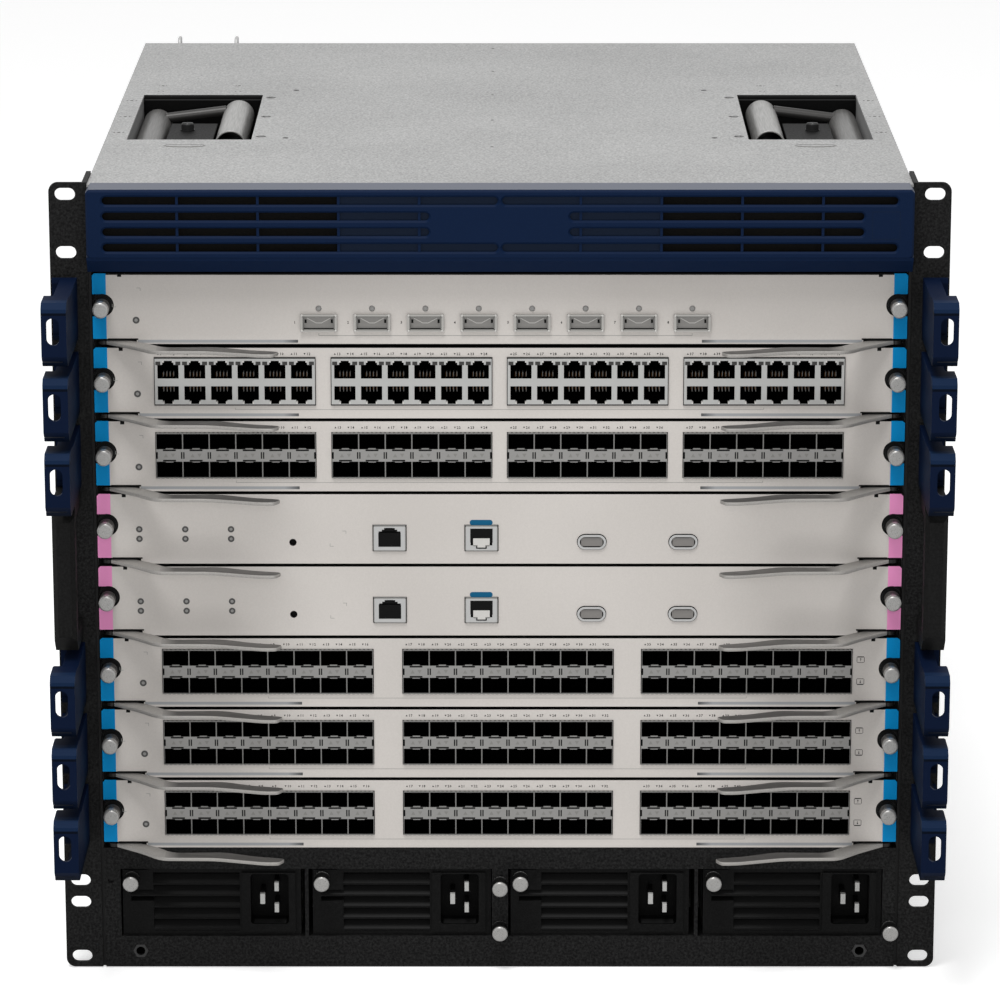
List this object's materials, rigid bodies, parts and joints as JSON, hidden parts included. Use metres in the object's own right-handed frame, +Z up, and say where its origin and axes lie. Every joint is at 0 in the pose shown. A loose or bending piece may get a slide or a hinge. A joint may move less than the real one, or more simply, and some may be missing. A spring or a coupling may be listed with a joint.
{
  "type": "modular chassis switch",
  "caption": "Rack-mounted modular network chassis: line cards with ejector levers, power supplies below, fan trays behind, lifting handles in its roof and cable guides on its ears.",
  "frame": {"origin": "centre of the case's bottom face, where it rests", "axes": "+Z up, -Y towards the front with its cards, +X to the right seen from the front"},
  "size_m": [0.4826, 0.55, 0.4445],
  "materials": {
    "black_plastic": "black moulded plastic",
    "black_powder_coat": "black powder coat with a fine speckle",
    "blue_plastic": "fine-grained dark blue moulding",
    "bright_steel": "turned bright steel",
    "brushed_steel": "bright plated spring steel",
    "card_panel_paint": "warm light grey fine texture paint, coloured end tabs",
    "circuit_board": "green solder mask, metal port cages",
    "dark_steel": "brushed steel, dark in its pocket",
    "filter_foam": "open black foam",
    "zinc_sheet": "pale grained zinc-coated steel sheet"
  },
  "bodies": {
    "chassis": {"chassis_shell": "zinc_sheet", "top_cover": "zinc_sheet", "front_frame": "black_powder_coat", "rack_ears": "black_powder_coat", "card_rails": "zinc_sheet", "power_bay": "zinc_sheet", "midplane_board": "circuit_board", "cable_guides": "blue_plastic", "side_handles": "black_powder_coat", "handle_pockets": "black_powder_coat", "frame_screws": "bright_steel", "intake_bezel": "blue_plastic", "intake_filter": "filter_foam", "rear_frame": "zinc_sheet"},
    "right_lift_handle": {"right_lift_handle": "dark_steel"},
    "left_lift_handle": {"left_lift_handle": "dark_steel"},
    "card_1": {"card_1_front": "card_panel_paint", "card_1_board": "circuit_board"},
    "card_1_right_lever": {"card_1_right_lever": "brushed_steel"},
    "card_1_left_lever": {"card_1_left_lever": "brushed_steel"},
    "card_2": {"card_2_front": "card_panel_paint", "card_2_board": "circuit_board"},
    "card_2_right_lever": {"card_2_right_lever": "brushed_steel"},
    "card_2_left_lever": {"card_2_left_lever": "brushed_steel"},
    "card_3": {"card_3_front": "card_panel_paint", "card_3_board": "circuit_board"},
    "card_3_right_lever": {"card_3_right_lever": "brushed_steel"},
    "card_3_left_lever": {"card_3_left_lever": "brushed_steel"},
    "card_4": {"card_4_front": "card_panel_paint", "card_4_board": "circuit_board"},
    "card_4_right_lever": {"card_4_right_lever": "brushed_steel"},
    "card_4_left_lever": {"card_4_left_lever": "brushed_steel"},
    "card_5": {"card_5_front": "card_panel_paint", "card_5_board": "circuit_board"},
    "card_5_right_lever": {"card_5_right_lever": "brushed_steel"},
    "card_5_left_lever": {"card_5_left_lever": "brushed_steel"},
    "card_6": {"card_6_front": "card_panel_paint", "card_6_board": "circuit_board"},
    "card_6_right_lever": {"card_6_right_lever": "brushed_steel"},
    "card_6_left_lever": {"card_6_left_lever": "brushed_steel"},
    "card_7": {"card_7_front": "card_panel_paint", "card_7_board": "circuit_board"},
    "card_7_right_lever": {"card_7_right_lever": "brushed_steel"},
    "card_7_left_lever": {"card_7_left_lever": "brushed_steel"},
    "card_8": {"card_8_front": "card_panel_paint", "card_8_board": "circuit_board"},
    "card_8_right_lever": {"card_8_right_lever": "brushed_steel"},
    "card_8_left_lever": {"card_8_left_lever": "brushed_steel"},
    "power_supply_1": {"power_supply_1": "black_powder_coat"},
    "power_supply_2": {"power_supply_2": "black_powder_coat"},
    "power_supply_3": {"power_supply_3": "black_powder_coat"},
    "power_supply_4": {"power_supply_4": "black_powder_coat"},
    "fabric_module_1": {"fabric_module_1": "zinc_sheet"},
    "fabric_module_2": {"fabric_module_2": "zinc_sheet"},
    "lower_fan_tray": {"lower_fan_tray": "black_powder_coat"},
    "lower_fan_rotor_1": {"lower_fan_rotor_1": "black_plastic"},
    "lower_fan_rotor_2": {"lower_fan_rotor_2": "black_plastic"},
    "upper_fan_tray": {"upper_fan_tray": "black_powder_coat"},
    "upper_fan_rotor_1": {"upper_fan_rotor_1": "black_plastic"},
    "upper_fan_rotor_2": {"upper_fan_rotor_2": "black_plastic"}
  },
  "joints": [
    {"name": "right_lift_handle_swing", "type": "hinge", "parent": "chassis", "child": "right_lift_handle", "pos_m": [0.2005, 0, 0.4275], "axis": [0, 1, 0], "range_deg": [0, 85]},
    {"name": "left_lift_handle_swing", "type": "hinge", "parent": "chassis", "child": "left_lift_handle", "pos_m": [-0.2005, 0, 0.4275], "axis": [0, -1, 0], "range_deg": [0, 85]},
    {"name": "card_1_slide", "type": "slide", "parent": "chassis", "child": "card_1", "axis": [0, -1, 0], "range_m": [0, 0.38]},
    {"name": "card_1_right_lever_swing", "type": "hinge", "parent": "card_1", "child": "card_1_right_lever", "pos_m": [0.2135, -0.2234, 0.3567], "axis": [0, 0, 1], "range_deg": [0, 55]},
    {"name": "card_1_left_lever_swing", "type": "hinge", "parent": "card_1", "child": "card_1_left_lever", "pos_m": [-0.2135, -0.2234, 0.3567], "axis": [0, 0, -1], "range_deg": [0, 55]},
    {"name": "card_2_slide", "type": "slide", "parent": "chassis", "child": "card_2", "axis": [0, -1, 0], "range_m": [0, 0.38]},
    {"name": "card_2_right_lever_swing", "type": "hinge", "parent": "card_2", "child": "card_2_right_lever", "pos_m": [0.2135, -0.2234, 0.3159], "axis": [0, 0, 1], "range_deg": [0, 55]},
    {"name": "card_2_left_lever_swing", "type": "hinge", "parent": "card_2", "child": "card_2_left_lever", "pos_m": [-0.2135, -0.2234, 0.3159], "axis": [0, 0, -1], "range_deg": [0, 55]},
    {"name": "card_3_slide", "type": "slide", "parent": "chassis", "child": "card_3", "axis": [0, -1, 0], "range_m": [0, 0.38]},
    {"name": "card_3_right_lever_swing", "type": "hinge", "parent": "card_3", "child": "card_3_right_lever", "pos_m": [0.2135, -0.2234, 0.2751], "axis": [0, 0, 1], "range_deg": [0, 55]},
    {"name": "card_3_left_lever_swing", "type": "hinge", "parent": "card_3", "child": "card_3_left_lever", "pos_m": [-0.2135, -0.2234, 0.2751], "axis": [0, 0, -1], "range_deg": [0, 55]},
    {"name": "card_4_slide", "type": "slide", "parent": "chassis", "child": "card_4", "axis": [0, -1, 0], "range_m": [0, 0.38]},
    {"name": "card_4_right_lever_swing", "type": "hinge", "parent": "card_4", "child": "card_4_right_lever", "pos_m": [0.2135, -0.2234, 0.2343], "axis": [0, 0, 1], "range_deg": [0, 55]},
    {"name": "card_4_left_lever_swing", "type": "hinge", "parent": "card_4", "child": "card_4_left_lever", "pos_m": [-0.2135, -0.2234, 0.2343], "axis": [0, 0, -1], "range_deg": [0, 55]},
    {"name": "card_5_slide", "type": "slide", "parent": "chassis", "child": "card_5", "axis": [0, -1, 0], "range_m": [0, 0.38]},
    {"name": "card_5_right_lever_swing", "type": "hinge", "parent": "card_5", "child": "card_5_right_lever", "pos_m": [0.2135, -0.2234, 0.1935], "axis": [0, 0, 1], "range_deg": [0, 55]},
    {"name": "card_5_left_lever_swing", "type": "hinge", "parent": "card_5", "child": "card_5_left_lever", "pos_m": [-0.2135, -0.2234, 0.1935], "axis": [0, 0, -1], "range_deg": [0, 55]},
    {"name": "card_6_slide", "type": "slide", "parent": "chassis", "child": "card_6", "axis": [0, -1, 0], "range_m": [0, 0.38]},
    {"name": "card_6_right_lever_swing", "type": "hinge", "parent": "card_6", "child": "card_6_right_lever", "pos_m": [0.2135, -0.2234, 0.1527], "axis": [0, 0, 1], "range_deg": [0, 55]},
    {"name": "card_6_left_lever_swing", "type": "hinge", "parent": "card_6", "child": "card_6_left_lever", "pos_m": [-0.2135, -0.2234, 0.1527], "axis": [0, 0, -1], "range_deg": [0, 55]},
    {"name": "card_7_slide", "type": "slide", "parent": "chassis", "child": "card_7", "axis": [0, -1, 0], "range_m": [0, 0.38]},
    {"name": "card_7_right_lever_swing", "type": "hinge", "parent": "card_7", "child": "card_7_right_lever", "pos_m": [0.2135, -0.2234, 0.1119], "axis": [0, 0, 1], "range_deg": [0, 55]},
    {"name": "card_7_left_lever_swing", "type": "hinge", "parent": "card_7", "child": "card_7_left_lever", "pos_m": [-0.2135, -0.2234, 0.1119], "axis": [0, 0, -1], "range_deg": [0, 55]},
    {"name": "card_8_slide", "type": "slide", "parent": "chassis", "child": "card_8", "axis": [0, -1, 0], "range_m": [0, 0.38]},
    {"name": "card_8_right_lever_swing", "type": "hinge", "parent": "card_8", "child": "card_8_right_lever", "pos_m": [0.2135, -0.2234, 0.0711], "axis": [0, 0, 1], "range_deg": [0, 55]},
    {"name": "card_8_left_lever_swing", "type": "hinge", "parent": "card_8", "child": "card_8_left_lever", "pos_m": [-0.2135, -0.2234, 0.0711], "axis": [0, 0, -1], "range_deg": [0, 55]},
    {"name": "power_supply_1_slide", "type": "slide", "parent": "chassis", "child": "power_supply_1", "axis": [0, -1, 0], "range_m": [0, 0.31]},
    {"name": "power_supply_2_slide", "type": "slide", "parent": "chassis", "child": "power_supply_2", "axis": [0, -1, 0], "range_m": [0, 0.31]},
    {"name": "power_supply_3_slide", "type": "slide", "parent": "chassis", "child": "power_supply_3", "axis": [0, -1, 0], "range_m": [0, 0.31]},
    {"name": "power_supply_4_slide", "type": "slide", "parent": "chassis", "child": "power_supply_4", "axis": [0, -1, 0], "range_m": [0, 0.31]},
    {"name": "fabric_module_1_slide", "type": "slide", "parent": "chassis", "child": "fabric_module_1", "axis": [0, 1, 0], "range_m": [0, 0.07]},
    {"name": "fabric_module_2_slide", "type": "slide", "parent": "chassis", "child": "fabric_module_2", "axis": [0, 1, 0], "range_m": [0, 0.07]},
    {"name": "lower_fan_tray_slide", "type": "slide", "parent": "chassis", "child": "lower_fan_tray", "axis": [0, 1, 0], "range_m": [0, 0.07]},
    {"name": "lower_fan_rotor_1_spin", "type": "hinge", "parent": "lower_fan_tray", "child": "lower_fan_rotor_1", "pos_m": [-0.05275, 0.2, 0.1205], "axis": [0, 1, 0], "continuous": true},
    {"name": "lower_fan_rotor_2_spin", "type": "hinge", "parent": "lower_fan_tray", "child": "lower_fan_rotor_2", "pos_m": [0.12575, 0.2, 0.1205], "axis": [0, 1, 0], "continuous": true},
    {"name": "upper_fan_tray_slide", "type": "slide", "parent": "chassis", "child": "upper_fan_tray", "axis": [0, 1, 0], "range_m": [0, 0.07]},
    {"name": "upper_fan_rotor_1_spin", "type": "hinge", "parent": "upper_fan_tray", "child": "upper_fan_rotor_1", "pos_m": [-0.05275, 0.2, 0.3315], "axis": [0, 1, 0], "continuous": true},
    {"name": "upper_fan_rotor_2_spin", "type": "hinge", "parent": "upper_fan_tray", "child": "upper_fan_rotor_2", "pos_m": [0.12575, 0.2, 0.3315], "axis": [0, 1, 0], "continuous": true}
  ]
}
